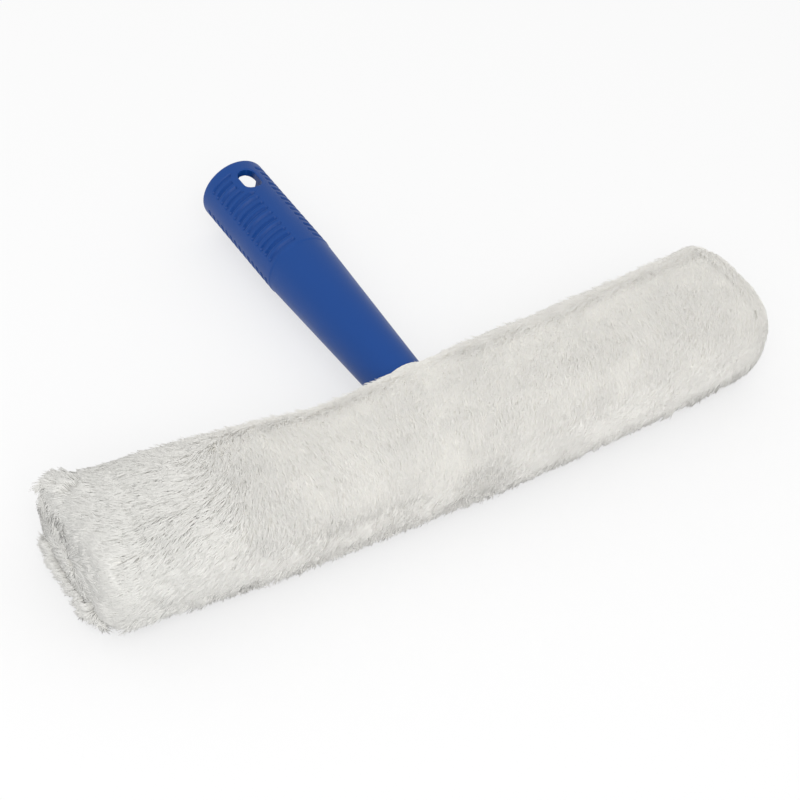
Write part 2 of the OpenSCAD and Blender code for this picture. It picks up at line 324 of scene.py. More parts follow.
def remap(tree, value, source=(0.0, 1.0), target=(0.0, 1.0)):
    """Carries a value from one range to another, held at its ends."""
    return add_node(tree, "ShaderNodeMapRange", {
        "Value": value, "From Min": source[0], "From Max": source[1],
        "To Min": target[0], "To Max": target[1]}).outputs["Result"]


def object_place(tree):
    """Object coordinates, which stay with the piece."""
    return add_node(tree, "ShaderNodeTexCoord").outputs["Object"]


FLOAT, VECTOR = "NodeSocketFloat", "NodeSocketVector"


def moulded_grain_group():
    """The skin of a moulding: a fine grain, broad uneven gloss and a few rubbed spots."""
    group, entry, leave = new_group(
        "moulded_grain", {"Vector": (VECTOR, None), "Grain Scale": (FLOAT, 2600.0),
                          "Rub Scale": (FLOAT, 160.0)},
        {"Height": FLOAT, "Gloss": FLOAT, "Rub": FLOAT})
    place = entry.outputs["Vector"]
    grain = add_node(group, "ShaderNodeTexNoise", {
        "Vector": place, "Scale": entry.outputs["Grain Scale"], "Detail": 3.0, "Roughness": 0.6})
    broad = add_node(group, "ShaderNodeTexNoise", {"Vector": place, "Scale": 45.0, "Detail": 4.0})
    spots = add_node(group, "ShaderNodeTexNoise", {
        "Vector": place, "Scale": entry.outputs["Rub Scale"], "Detail": 6.0, "Roughness": 0.75})
    rubbed = remap(group, spots.outputs["Fac"], (0.66, 0.8))
    group.links.new(grain.outputs["Fac"], leave.inputs["Height"])
    group.links.new(broad.outputs["Fac"], leave.inputs["Gloss"])
    group.links.new(rubbed, leave.inputs["Rub"])
    return group


moulded_grain = moulded_grain_group()


def place_group(tree, group, **inputs):
    """Puts a node group in a material, its inputs named with _ for a space."""
    node = tree.nodes.new("ShaderNodeGroup")
    node.node_tree = group
    for label, value in inputs.items():
        socket = node.inputs[label.replace("_", " ")]
        if isinstance(value, bpy.types.NodeSocket):
            tree.links.new(value, socket)
        else:
            socket.default_value = value
    return node


def new_material(name, **constants):
    """A material with a Principled shader whose plain values are set on its own sockets."""
    material = bpy.data.materials.new(name)
    material.use_nodes = True
    shader = material.node_tree.nodes["Principled BSDF"]
    for label, value in constants.items():
        shader.inputs[label.replace("_", " ")].default_value = value
    return material, material.node_tree, shader


def mix_colours(tree, amount, first, second):
    """first where amount is 0, second where it is 1."""
    return add_node(tree, "ShaderNodeMix", {"Factor": amount, 6: first, 7: second},
                    data_type="RGBA").outputs[2]


def paint(tree, shader, amount, first, second):
    """Gives the shader a mix of two colours for its base colour."""
    tree.links.new(mix_colours(tree, amount, first, second), shader.inputs["Base Color"])


def raise_relief(tree, shader, height, strength, distance):
    """Gives the shader the relief of a height."""
    bump = add_node(tree, "ShaderNodeBump", {
        "Height": height, "Strength": strength, "Distance": distance})
    tree.links.new(bump.outputs["Normal"], shader.inputs["Normal"])


def moulded_plastic(name, colour, rubbed_colour, roughness):
    """Satin polypropylene: a flat colour with faint mottling, pale rubs and a fine grain."""
    material, tree, shader = new_material(name, Specular_IOR_Level=0.28)
    skin = place_group(tree, moulded_grain, Vector=object_place(tree))
    dark = tuple(0.93 * c for c in colour[:3]) + (1.0,)
    base = mix_colours(tree, skin.outputs["Gloss"], dark, colour)
    paint(tree, shader, maths(tree, "MULTIPLY", skin.outputs["Rub"], 0.25), base, rubbed_colour)
    gloss = remap(tree, skin.outputs["Gloss"], (0.3, 0.7), (roughness - 0.05, roughness + 0.06))
    tree.links.new(gloss, shader.inputs["Roughness"])
    raise_relief(tree, shader, skin.outputs["Height"], 0.35, 0.04 * MM)
    return material


def dress(piece, material):
    """Gives a piece its material."""
    piece.data.materials.clear()
    piece.data.materials.append(material)


handle_blue = moulded_plastic("handle_polypropylene", (0.005, 0.057, 0.262, 1.0),
                              (0.08, 0.18, 0.42, 1.0), 0.42)
dress(handle, handle_blue)
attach(handle, "tool")
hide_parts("handle")


# Crossbar
# A flat polypropylene bar with rounded edges, moulded with two layers of water pockets, each
# drained through the web between them. The frame's own solid is shown.

bar_blue = moulded_plastic("bar_polypropylene", (0.019, 0.095, 0.33, 1.0),
                           (0.09, 0.2, 0.44, 1.0), 0.46)
dress(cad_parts["crossbar"], bar_blue)


# Fixing screws
# Two zinc-plated screws with cross recesses, driven down through the bar and the tenon to hold
# the handle. The frame's own solids are shown.

def plated_steel(name):
    """Bright zinc plate: a neutral metal with brushed streaks and a slightly uneven gloss."""
    material, tree, shader = new_material(name, Metallic=1.0)
    streaks = add_node(tree, "ShaderNodeTexNoise", {
        "Vector": object_place(tree), "Scale": 900.0, "Detail": 5.0}).outputs["Fac"]
    paint(tree, shader, streaks, (0.52, 0.53, 0.55, 1.0), (0.72, 0.73, 0.74, 1.0))
    tree.links.new(remap(tree, streaks, target=(0.22, 0.42)), shader.inputs["Roughness"])
    raise_relief(tree, shader, streaks, 0.2, 0.03 * MM)
    return material


dress(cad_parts["fixing_screws"], plated_steel("zinc_plate"))


# Pile on the sleeve
# Long plush yarn tufts on the woven tube, combed over the front and towards the left end. Its
# outline is the solid's: it swells to the front, bows back at both ends and is dented by the
# neck. Loose strands stand above the outline by the table, at the left end and along the back.

backing_low, backing_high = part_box("sleeve_backing")
fabric_x = backing_high.x
fabric_y = (backing_high.y - backing_low.y) / 2
fabric_z = (backing_high.z - backing_low.z) / 2
fabric_edge_r = 9 * MM
layer_gap = 0.1 * MM
pile = 10.4 * MM
pile_y = fabric_y + pile
pile_z = fabric_z + pile
pile_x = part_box("end_panel_pile")[1].x
pile_square = 2.7
pile_end_r = 9.5 * MM
pile_bow = 8.5 * MM
pile_swell = 3 * MM
pile_dent = 5.5 * MM
dent_x = 48 * MM
dent_width = 36 * MM
straight_x = pile_x - pile_end_r
end_turn = pile_end_r * math.pi / 2
face_reach = 19 * MM
hem_outer_r = 14.45 * MM
mat_depth = 2.3 * MM
table_gap = 0.3 * MM
root_sunk = 0.3 * MM
neck_gap = 0.35 * MM
clump_size = 2.6 * MM
wide_clump_size = 6.5 * MM
coarse_start = 60 * MM
coarse_full = 165 * MM
lean_length = 8 * MM
face_slant = 0.6


def squared(value, power):
    """A power that keeps its sign, for the squared-off ellipse."""
    return np.sign(value) * np.abs(value) ** power


def pile_point(along, angle, depth):
    """A point on the pile's outline, or depth inside it. along runs down the sleeve, round the
    end's edge and in to the end's middle; angle runs from the handle's side over the top."""
    reach = np.abs(along)
    turn = np.clip((reach - straight_x) / pile_end_r, 0, math.pi / 2)
    share = 1 - np.clip((reach - straight_x - end_turn) / face_reach, 0, 1)
    round_r = pile_end_r - depth
    x = np.sign(along) * (np.minimum(reach, straight_x) + round_r * np.sin(turn))
    inset = pile_end_r - round_r * np.cos(turn)
    dent = pile_dent * np.exp(-((x + dent_x) / dent_width) ** 2) * np.maximum(np.cos(angle), 0)
    power = 2 / pile_square
    y = share * ((pile_y - inset) * squared(np.cos(angle), power) - dent)
    z = share * (pile_z - inset - dent / 2) * squared(np.sin(angle), power)
    middle = pile_bow * (x / pile_x) ** 2 - pile_swell
    z = np.maximum(axis_z + z, table_gap)
    return np.stack([x, cross_y + middle + y, z], -1)


def angle_table():
    """Angles once round the sleeve, with the length along its girth up to each."""
    angle = np.linspace(0, 2 * math.pi, 2881)
    ring = pile_point(np.zeros_like(angle), angle, 0.0 * angle)
    steps = np.linalg.norm(np.diff(ring, axis=0), axis=1)
    length = np.concatenate([[0], np.cumsum(steps)])
    return angle, length


ring_angle, ring_length = angle_table()
girth = ring_length[-1]


def angle_at(distance):
    """The angle at a distance round the sleeve, from the handle's side."""
    return np.interp(distance % girth, ring_length, ring_angle)


def wave_noise(a, b, scale, seed, octaves=3):
    """Smooth noise from -1 to 1 on a plane: value noise on a hashed grid, in octaves."""
    total = np.zeros(np.shape(a))
    weight = 0.0
    for octave in range(octaves):
        p, q = a / scale * 2**octave, b / scale * 2**octave
        i, j = np.floor(p), np.floor(q)
        u, v = p - i, q - j
        u, v = u * u * (3 - 2 * u), v * v * (3 - 2 * v)
        corner = [[hashed(i + di, j + dj, seed + octave) for dj in (0, 1)] for di in (0, 1)]
        low = corner[0][0] * (1 - v) + corner[0][1] * v
        high = corner[1][0] * (1 - v) + corner[1][1] * v
        total = total + (low * (1 - u) + high * u) / 2**octave
        weight += 1 / 2**octave
    return 2 * total / weight - 1


def hashed(i, j, seed):
    """A repeatable value from 0 to 1 for each whole-numbered place: a sine hash."""
    spread = np.sin(i * 127.1 + j * 311.7 + seed * 74.7) * 43758.5453
    return spread - np.floor(spread)


def nearest_centre(a, b, size, seed):
    """The nearest of one hashed centre in each square of a grid, with that centre's own hash."""
    cell_a, cell_b = np.floor(a / size), np.floor(b / size)
    best = np.full(np.shape(a), np.inf)
    centre_a, centre_b, tag = np.zeros_like(best), np.zeros_like(best), np.zeros_like(best)
    for di in (-1, 0, 1):
        for dj in (-1, 0, 1):
            i, j = cell_a + di, cell_b + dj
            at_a = (i + 0.15 + 0.7 * hashed(i, j, seed)) * size
            at_b = (j + 0.15 + 0.7 * hashed(i, j, seed + 1)) * size
            gap = (a - at_a) ** 2 + (b - at_b) ** 2
            near = gap < best
            best = np.where(near, gap, best)
            centre_a = np.where(near, at_a, centre_a)
            centre_b = np.where(near, at_b, centre_b)
            tag = np.where(near, hashed(i, j, seed + 2), tag)
    return centre_a, centre_b, tag


def comb_direction(along, distance):
    """Which way the pile lies, as (along the sleeve, round it): over the front and leaning to the
    left, turned by broad noise; fanned out towards the left end; down and to the right in the
    skirt near the table; and down over both end faces, aslant on the left one."""
    angle = angle_at(distance)
    degrees = np.degrees(angle)
    over = smooth_step(degrees, 35, 75) - 2 * smooth_step(degrees, 262, 278)
    over = over - smooth_step(degrees, 0, 1) * (1 - smooth_step(degrees, 15, 55))
    sideways = -0.6 + 0.4 * wave_noise(along, distance, 60 * MM, 5, 2)
    to_end = smooth_step(-along + 14 * MM * wave_noise(along, distance, 30 * MM, 6, 2),
                         88 * MM, 158 * MM)
    fanned = np.interp(degrees, [0, 60, 110, 150, 190, 360], [-0.5, -0.6, -0.1, 0.35, 1.0, 1.0])
    sideways = sideways * (1 - to_end) - 1.15 * to_end
    over = over * (1 - to_end) + fanned * to_end
    skirt = smooth_step(degrees, 196, 212) * (1 - smooth_step(degrees, 262, 270))
    sideways = sideways * (1 - skirt) + 0.55 * skirt
    face = smooth_step(np.abs(along) - straight_x, 0.35 * end_turn, 1.05 * end_turn)
    from_down = angle - face_slant * (along < 0)
    sideways = sideways * (1 - face) + np.sign(along) * np.sin(from_down) * face
    over = over * (1 - face) - np.cos(from_down) * face
    twist = (0.45 + 0.25 * to_end) * wave_noise(along, distance, 24 * MM, 11, 2)
    cos, sin = np.cos(twist), np.sin(twist)
    a, b = sideways * cos - over * sin, sideways * sin + over * cos
    length = np.maximum(np.hypot(a, b), 0.2)
    return a / length, b / length


def even_places(count, length, width, seed):
    """An even scatter over a rectangle: the plastic-number sequence, with a little jitter."""
    random = np.random.default_rng(seed)
    order = np.arange(count)
    a = (0.5 + order * 0.7548776662466927) % 1
    b = (0.5 + order * 0.5698402909980532) % 1
    jitter = 0.35 * math.sqrt(length * width / count)
    place_a = a * length + random.uniform(-jitter, jitter, count)
    place_b = b * width + random.uniform(-jitter, jitter, count)
    return place_a, place_b


def clear_of_neck(points, gap):
    """Pushes points out from the handle's axis until they clear its tapered neck by gap."""
    body_end = free_end - grip_length
    y = points[..., 1] - cross_y
    taper = neck_r + (grip_r - neck_r) * np.clip((y - neck_y) / (body_end - neck_y), 0, 1)
    x, z = points[..., 0], points[..., 2] - axis_z
    radius = np.maximum(np.hypot(x, z), 1e-6)
    push = np.where(y > 0, np.maximum(1, (taper + gap) / radius), 1)
    moved = points.copy()
    moved[..., 0] = x * push
    moved[..., 2] = axis_z + z * push
    return moved


def grow_strands(along, distance, stand, seed):
    """Each strand is a quadratic curve from a root under the pile to a tip on its outline, or at
    a height stand above it. The tips lean with the comb, draw together in clumps, and vary in
    height from clump to clump. The clumps are wider towards the left end, the strands heavier
    there and in the skirt near the table, and those with a stand lean less."""
    random = np.random.default_rng(seed)
    count = len(along)
    coarse = 0.8 * smooth_step(-along, coarse_start, coarse_full)
    degrees = np.degrees(angle_at(distance))
    skirt = smooth_step(degrees, 199, 211) * (1 - smooth_step(degrees, 262, 275))
    corner = smooth_step(-along, straight_x - 8 * MM, straight_x + 2 * MM) * np.exp(
        -((degrees - 48) / 26) ** 2)
    heavy = np.maximum(coarse, skirt)
    clump_a, clump_b, tag = nearest_centre(along, distance, clump_size, 21)
    wide_a, wide_b, wide_tag = nearest_centre(along, distance, wide_clump_size, 41)
    clump_a = clump_a * (1 - coarse) + wide_a * coarse
    clump_b = clump_b * (1 - coarse) + wide_b * coarse
    comb_a, comb_b = comb_direction(along, distance)
    near_a, near_b = comb_direction(clump_a, clump_b)
    turn = random.normal(0, 0.2, count) + 0.3 * (tag - 0.5)
    lean_a = 0.5 * (comb_a + near_a)
    lean_b = 0.5 * (comb_b + near_b)
    lean_a, lean_b = (lean_a * np.cos(turn) - lean_b * np.sin(turn),
                      lean_a * np.sin(turn) + lean_b * np.cos(turn))
    lean = lean_length + (3.5 * heavy + 2.2 * (wide_tag - 0.5)) * MM
    lean = lean * random.uniform(0.8, 1.15, count)
    steep = (stand > 0) & ((stand > 3 * MM) | (degrees < 100))
    lean = lean * np.where(steep, 0.4, np.where(stand > 0, 0.6, 1))
    pull = 0.22 + 0.25 * coarse + 0.5 * skirt
    tip_a = along + (clump_a - along) * pull + lean_a * lean
    tip_b = distance + (clump_b - distance) * pull + lean_b * lean
    height = (0.3 * (tag - 0.5) + 0.7 * wave_noise(along, distance, 18 * MM, 3, 2)) * MM
    top = height + random.normal(0, 0.2, count) * MM + 1.0 * coarse * (wide_tag - 0.4) * MM
    top = top + (1.2 * skirt * (wide_tag - 0.6) + 2.5 * corner * wide_tag) * MM
    top = top + stand * (0.6 + 0.5 * tag + random.normal(0, 0.12, count))
    root = pile_point(along, angle_at(distance), np.full(count, mat_depth + root_sunk))
    tip = pile_point(tip_a, angle_at(tip_b), 0.5 * MM - top)
    knee_a, knee_b = along + 0.35 * (tip_a - along), distance + 0.35 * (tip_b - distance)
    knee = pile_point(knee_a, angle_at(knee_b), 0.3 * MM - 0.7 * top)
    thick = random.uniform(0.11, 0.18, count) * (1 + 1.2 * heavy) * MM
    # Each strand's tone varies at random and is pulled down towards the left end: painted shade
    # where that end lies in shadow
    tone = random.uniform(0.8, 1, count) * (1 - 0.9 * coarse)
    return root, knee, tip, thick, tone


# The shares of its length at which a strand has a ring of points, and how wide it is there
strand_rings = np.array([0.0, 0.55, 1.0])
strand_widths = np.array([0.8, 1.0, 0.35])


def strand_mesh(name, root, knee, tip, radius, tone):
    """Three-sided closed strands along quadratic curves, with each strand's tone, which also
    carries painted shade, and the share of its length kept as attributes for the material. radius
    and tone may be one for all."""
    count = len(root)
    radius, tone = np.broadcast_to(radius, count), np.broadcast_to(tone, count)
    share = strand_rings[None, :, None]
    path = ((1 - share) ** 2 * root[:, None] + 2 * share * (1 - share) * knee[:, None]
            + share**2 * tip[:, None])
    path = clear_of_neck(path, neck_gap)
    path[..., 2] = np.maximum(path[..., 2], table_gap)
    along = np.gradient(path, axis=1)
    along /= np.maximum(np.linalg.norm(along, axis=2, keepdims=True), 1e-9)
    upward = np.where(np.abs(along[..., 2:]) < 0.9, np.array([0.0, 0, 1]), np.array([1.0, 0, 0]))
    side = np.cross(along, upward)
    side /= np.maximum(np.linalg.norm(side, axis=2, keepdims=True), 1e-9)
    lift = np.cross(side, along)
    turn = np.radians(np.array([90.0, 210.0, 330.0]))
    width = radius[:, None, None, None] * strand_widths[None, :, None, None]
    ring = (path[:, :, None] + width * (np.cos(turn)[:, None] * side[:, :, None]
                                        + np.sin(turn)[:, None] * lift[:, :, None]))
    rings = len(strand_rings)
    sides = grid_faces(rings, 3, wrap=True)[:, ::-1]
    start = (np.arange(count) * rings * 3)[:, None, None]
    quads = (sides[None] + start).reshape(-1, 4)
    caps = np.array([[0, 1, 2], [rings * 3 - 1, rings * 3 - 2, rings * 3 - 3]])
    caps = (caps[None] + start).reshape(-1, 3)
    piece = make_piece(name, ring.reshape(-1, 3), [quads, caps])
    for label, values in (("strand_tone_and_shade", np.repeat(tone, rings * 3)),
                          ("strand_share", np.tile(np.repeat(strand_rings, 3), count))):
        attribute = piece.data.attributes.new(label, "FLOAT", "POINT")
        attribute.data.foreach_set("value", values.astype(np.float32))
    return piece


def plush_yarn(name):
    """White polyester yarn, each strand of its own tone. Towards the root it is painted darker and
    warmer, shade deep in the pile, and the dark body colour that low tones take is painted shade
    on the left end. Most of the light that meets a strand passes through it, as in real plush."""
    material, tree, shader = new_material(name, Roughness=0.85, Specular_IOR_Level=0.15,
                                          Sheen_Weight=0.15, Sheen_Roughness=0.5)
    share = add_node(tree, "ShaderNodeAttribute", attribute_name="strand_share").outputs["Fac"]
    tone = add_node(tree, "ShaderNodeAttribute", attribute_name="strand_tone_and_shade").outputs["Fac"]
    # Painted shade deep in the pile: each strand is darker and warmer towards its root
    rooted = remap(tree, share, (0.1, 0.6))
    # body is the dark colour that low tones take: painted shade on the shadowed left end
    body = mix_colours(tree, rooted, (0.69, 0.68, 0.63, 1.0), (0.735, 0.73, 0.70, 1.0))
    light = mix_colours(tree, rooted, (0.975, 0.95, 0.89, 1.0), (0.995, 0.977, 0.935, 1.0))
    paint(tree, shader, tone, body, light)
    ray = add_node(tree, "ShaderNodeLightPath").outputs
    bounced = maths(tree, "MULTIPLY", ray["Is Diffuse Ray"], 0.9)
    shadow = maths(tree, "MULTIPLY", ray["Is Shadow Ray"], 0.965)
    cover = maths(tree, "SUBTRACT", 1.0, maths(tree, "MAXIMUM", bounced, shadow))
    tree.links.new(cover, shader.inputs["Alpha"])
    return material


yarn = plush_yarn("plush_yarn")
strand_count = 116500
whole_reach = straight_x + end_turn + face_reach
strand_along, strand_distance = even_places(strand_count, 2 * whole_reach, girth, 7)
strand_along = strand_along - whole_reach
placing = np.random.default_rng(8)

# The end faces draw in to a point, so they keep fewer strands, and the side on the table keeps half
table_side = (245, 295)
face_share = 1 - np.clip((np.abs(strand_along) - straight_x - end_turn) / face_reach, 0, 1)
kept = placing.random(strand_count) < np.maximum(face_share, 0.02)
strand_degrees = np.degrees(angle_at(strand_distance))
under = (strand_degrees > table_side[0]) & (strand_degrees < table_side[1])
kept &= ~(under & (placing.random(strand_count) < 0.5))

# Strands that stand above the outline, each group with its degrees round the sleeve and its height:
# the skirt by the table, the left end's fringe and upper tufts, and the ridge along the back
skirt_count, skirt_zone, skirt_stand = 9000, (190, 222), 2.6 * MM
fringe_count, fringe_zone, fringe_stand = 1600, (212, 322), 3.4 * MM
tuft_count, tuft_zone, tuft_stand = 300, (28, 72), 3.05 * MM
ridge_count, ridge_zone, ridge_stand = 3000, (38, 68), 1.0 * MM
ridge_start = 18 * MM
skirt_along = placing.uniform(-straight_x, straight_x + 3 * MM, skirt_count)
skirt_degrees = placing.uniform(*skirt_zone, skirt_count)
fringe_reach = straight_x + np.array([0.5, 1.2]) * end_turn
fringe_along = -placing.uniform(*fringe_reach, fringe_count)
fringe_degrees = placing.uniform(*fringe_zone, fringe_count)
tuft_along = -placing.uniform(straight_x - 4 * MM, straight_x + 6 * MM, tuft_count)
tuft_degrees = placing.uniform(*tuft_zone, tuft_count)
ridge_along = placing.uniform(ridge_start, straight_x, ridge_count)
ridge_along = ridge_along * placing.choice([-1, 1], ridge_count)
ridge_degrees = placing.uniform(*ridge_zone, ridge_count)
extra_along = np.concatenate([skirt_along, fringe_along, tuft_along, ridge_along])
extra_degrees = np.concatenate([skirt_degrees, fringe_degrees, tuft_degrees, ridge_degrees])
extra_distance = np.interp(np.radians(extra_degrees), ring_angle, ring_length)
strand_along = np.concatenate([strand_along[kept], extra_along])
strand_distance = np.concatenate([strand_distance[kept], extra_distance])
strand_stand = np.concatenate([
    np.zeros(kept.sum()), skirt_stand * smooth_step(skirt_degrees, 186, 206),
    np.full(fringe_count, fringe_stand), np.full(tuft_count, tuft_stand),
    np.full(ridge_count, ridge_stand)])
strand_root, strand_knee, strand_tip, strand_radius, strand_tone_and_shade = grow_strands(
    strand_along, strand_distance, strand_stand, 9)
off_neck = (np.hypot(strand_root[:, 0], strand_root[:, 2] - axis_z) > hem_outer_r) | (
    strand_root[:, 1] < cross_y)

# The strands that belong to the flap's end, to its tongue and to the fold; those on the end part
# from the sleeve's along a line at the fold's height, so that the flap can open
cloth_room = 1.5 * MM
parting_jitter = 1.2 * MM
flap_x = -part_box("closure_flap")[0].x - cloth_room
tongue_end = fabric_x - 23 * MM
tongue_half = 13.5 * MM
fold_z = axis_z - fabric_z
on_cap = (strand_root[:, 0] < -flap_x) & (strand_root[:, 2] > fold_z)
on_tongue = ((strand_root[:, 0] < -tongue_end) & (strand_root[:, 2] > axis_z + 0.8 * fabric_z)
             & (np.abs(strand_root[:, 1] - cross_y) < tongue_half))
on_flap = on_cap | on_tongue
parting_z = fold_z + placing.uniform(-parting_jitter, parting_jitter, len(strand_root))
for point in (strand_knee, strand_tip):
    point[:, 2] = np.where(on_cap, np.maximum(point[:, 2], parting_z), point[:, 2])
by_fold = (strand_root[:, 0] < -flap_x) & ~on_flap


def strand_piece(name, chosen, node):
    """Makes the chosen strands one piece that stands for a pile node."""
    piece = strand_mesh(name, strand_root[chosen], strand_knee[chosen], strand_tip[chosen],
                        strand_radius[chosen], strand_tone_and_shade[chosen])
    dress(piece, yarn)
    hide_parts(node)
    return piece


edges = np.linspace(-flap_x, fabric_x, 10)
for number, (low, high) in enumerate(zip(edges[:-1], edges[1:]), 1):
    chosen = off_neck & ~on_flap & (strand_root[:, 0] >= low) & (strand_root[:, 0] < high)
    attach(strand_piece(f"sleeve_tufts_{number}", chosen, "sleeve_pile"), "tool")
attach(strand_piece("end_panel_tufts", strand_root[:, 0] >= fabric_x, "end_panel_pile"), "tool")
flap_tufts = strand_piece("flap_tufts", on_cap, "flap_pile")
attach(flap_tufts, "flap")
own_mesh(flap_tufts)
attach(strand_piece("tongue_tufts", on_tongue & ~on_cap, "flap_pile"), "flap")
fold_tufts = strand_piece("fold_tufts", by_fold, "flap_pile")
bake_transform(fold_tufts)


# Woven backing
# The tube of plain woven polyester that the pile is rooted in, pulled over the bar, and the panel
# sewn across its right end. Each is a sheet drawn on its middle surface and then thickened.

cloth = 1.0 * MM
section_columns = 128
tube_rows = 160
end_rows = 14
end_inset = 0.3 * MM
end_dome = 0.2 * MM
plug_start = 6 * MM


def thicken(piece, thickness):
    """Gives a surface its wall, half to each side."""
    wall = piece.modifiers.new("wall", "SOLIDIFY")
    wall.thickness = thickness
    wall.offset = 0
    bpy.context.view_layer.update()
    apply_modifiers(piece)


def grid_piece(name, points, wrap):
    """A surface of rows and columns of points, closed round its columns if wrap."""
    rows, columns = points.shape[:2]
    return make_piece(name, points.reshape(-1, 3), [grid_faces(rows, columns, wrap)])


def weld(piece):
    """Merges the points that coincide at a pole."""
    shape = bmesh.new()
    shape.from_mesh(piece.data)
    bmesh.ops.remove_doubles(shape, verts=shape.verts, dist=1e-7)
    shape.to_mesh(piece.data)
    shape.free()


def woven_threads_group():
    """Plain weave: two crossing sets of threads as a product of sines, and slubs in their tone."""
    group, entry, leave = new_group(
        "woven_threads", {"Vector": (VECTOR, None), "Pitch": (FLOAT, 0.0008)},
        {"Height": FLOAT, "Slub": FLOAT})
    parts = add_node(group, "ShaderNodeSeparateXYZ", {0: entry.outputs["Vector"]})
    across = maths(group, "ADD", parts.outputs["Y"], parts.outputs["Z"])
    turn = maths(group, "DIVIDE", math.pi, entry.outputs["Pitch"])
    waves = [maths(group, "SINE", maths(group, "MULTIPLY", way, turn))
             for way in (parts.outputs["X"], across)]
    crossed = maths(group, "MULTIPLY", *waves)
    slub = add_node(group, "ShaderNodeTexNoise", {
        "Vector": entry.outputs["Vector"], "Scale": 700.0, "Detail": 4.0, "Distortion": 0.6})
    group.links.new(crossed, leave.inputs["Height"])
    group.links.new(slub.outputs["Fac"], leave.inputs["Slub"])
    return group


woven_threads = woven_threads_group()


def woven_cloth(name, dark, pale, pitch):
    """Woven polyester: uneven pale threads with the weave's relief."""
    material, tree, shader = new_material(name, Roughness=0.88, Specular_IOR_Level=0.2)
    weave = place_group(tree, woven_threads, Vector=object_place(tree), Pitch=pitch)
    paint(tree, shader, weave.outputs["Slub"], dark, pale)
    raise_relief(tree, shader, weave.outputs["Height"], 0.6, 0.15 * MM)
    return material


backing_cloth = woven_cloth("backing_weave", (0.70, 0.68, 0.60, 1.0), (0.84, 0.82, 0.75, 1.0),
                            0.8 * MM)


def section_ring(grow):
    """Evenly spaced points (y, z) round the backing's section, about the bar's axis."""
    outline = round_rectangle(fabric_y + grow, fabric_z + grow, fabric_edge_r + grow)
    closed = np.concatenate([outline, outline[:1]])
    length = np.concatenate([[0], np.cumsum(np.linalg.norm(np.diff(closed, axis=0), axis=1))])
    at = np.linspace(0, length[-1], section_columns, endpoint=False)
    return np.column_stack([np.interp(at, length, closed[:, k]) for k in (0, 1)])


def backing_tube():
    """Section rings carried along the bar, pushed in and out by broad wrinkles."""
    ring = section_ring(-cloth_room / 2)
    x, column = np.meshgrid(np.linspace(-fabric_x, fabric_x, tube_rows),
                            np.arange(section_columns), indexing="ij")
    crease = 1 + 0.014 * wave_noise(x, 3 * column * MM, 22 * MM, 51)
    points = np.stack([x, cross_y + ring[column, 0] * crease,
                       axis_z + ring[column, 1] * crease], -1)
    return grid_piece("backing_tube", points, wrap=True)


def end_cloth(name, x, dome):
    """Section rings drawn in to the middle, with a faint dome."""
    ring = section_ring(-end_inset)
    share, column = np.meshgrid(np.linspace(0, 1, end_rows), np.arange(section_columns),
                                indexing="ij")
    points = np.stack([x + dome * (1 - share**2), cross_y + share * ring[column, 0],
                       axis_z + share * ring[column, 1]], -1)
    piece = grid_piece(name, points, wrap=True)
    weld(piece)
    return piece


def neck_plug(grow):
    """A cylinder round the handle's axis, from inside the sleeve out, that clears the hem."""
    outline = arc_points((0, axis_z), hem_outer_r + grow, 0, 355, 72)
    return prism("neck_plug", outline, cross_y + plug_start, cross_y + 2 * pile_y, 1)


tube = backing_tube()
thicken(tube, cloth)
combine(tube, neck_plug(0.1 * MM), "DIFFERENCE")
dress(tube, backing_cloth)
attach(tube, "tool")
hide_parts("sleeve_backing")

right_panel = end_cloth("right_end_panel", fabric_x + layer_gap + cloth_room / 2, end_dome)
thicken(right_panel, cloth)
dress(right_panel, backing_cloth)
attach(right_panel, "tool")
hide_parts("end_panel")


# Neck hem
# The tape that binds the hole where the handle passes: one strip folded over the raw edge and
# stitched round. Its profile goes out along the neck, over the fold and back outside.

hem_out = 4.5 * MM
hem_cloth = 0.5 * MM
hem_inset = 0.3 * MM
hem_wall = 1.6 * MM
hem_inner_r = hem_outer_r - hem_wall + hem_inset
hem_columns = 216
stitch_count = 36
stitch_out = 2.2 * MM
pucker = 0.08 * MM
hem_tape_cloth = woven_cloth("hem_tape_weave", (0.78, 0.77, 0.71, 1.0), (0.9, 0.89, 0.85, 1.0),
                             0.6 * MM)


def neck_hem_tape():
    """The folded profile turned about the handle's axis, with a small pucker at each stitch."""
    fold_r = (hem_outer_r - hem_inset - hem_inner_r) / 2
    fold_y = fabric_y + hem_out - fold_r - hem_cloth / 2
    inside = [[y, hem_inner_r] for y in np.linspace(fabric_y - 1.2 * MM, fold_y, 8)]
    turn = np.radians(np.linspace(-90, 90, 9))[1:-1]
    fold = np.column_stack([fold_y + fold_r * np.cos(turn),
                            hem_inner_r + fold_r * (1 + np.sin(turn))])
    outside = [[y, hem_inner_r + 2 * fold_r] for y in np.linspace(fold_y, fabric_y + 0.3 * MM, 6)]
    profile = np.concatenate([inside, fold, outside])
    angle, y = np.meshgrid(np.linspace(0, 2 * math.pi, hem_columns, endpoint=False), profile[:, 0])
    radius = profile[:, 1:]
    radius = radius + pucker * np.cos(stitch_count * angle) * (radius > hem_inner_r + fold_r)
    return grid_piece("neck_hem_tape", about_handle(radius, angle, y), wrap=True)


hem = neck_hem_tape()
thicken(hem, hem_cloth)
dress(hem, hem_tape_cloth)
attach(hem, "tool")
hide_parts("neck_hem")


thread_r = 0.17 * MM
thread_bow = 0.35 * MM


def stitch_row(name, start, end, outward, body):
    """Short threads that each run from a start to an end, bowed outward, as closed strands."""
    knee = (start + end) / 2 + thread_bow * outward
    piece = strand_mesh(name, start, knee, end, thread_r, 0.5)
    dress(piece, yarn)
    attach(piece, body)
    return piece


def round_hem(angle):
    """Points on the outside of the hem at angles about the handle's axis."""
    radius = hem_outer_r - hem_inset + hem_cloth / 2
    return about_handle(radius, angle, np.full(len(angle), fabric_y + stitch_out))


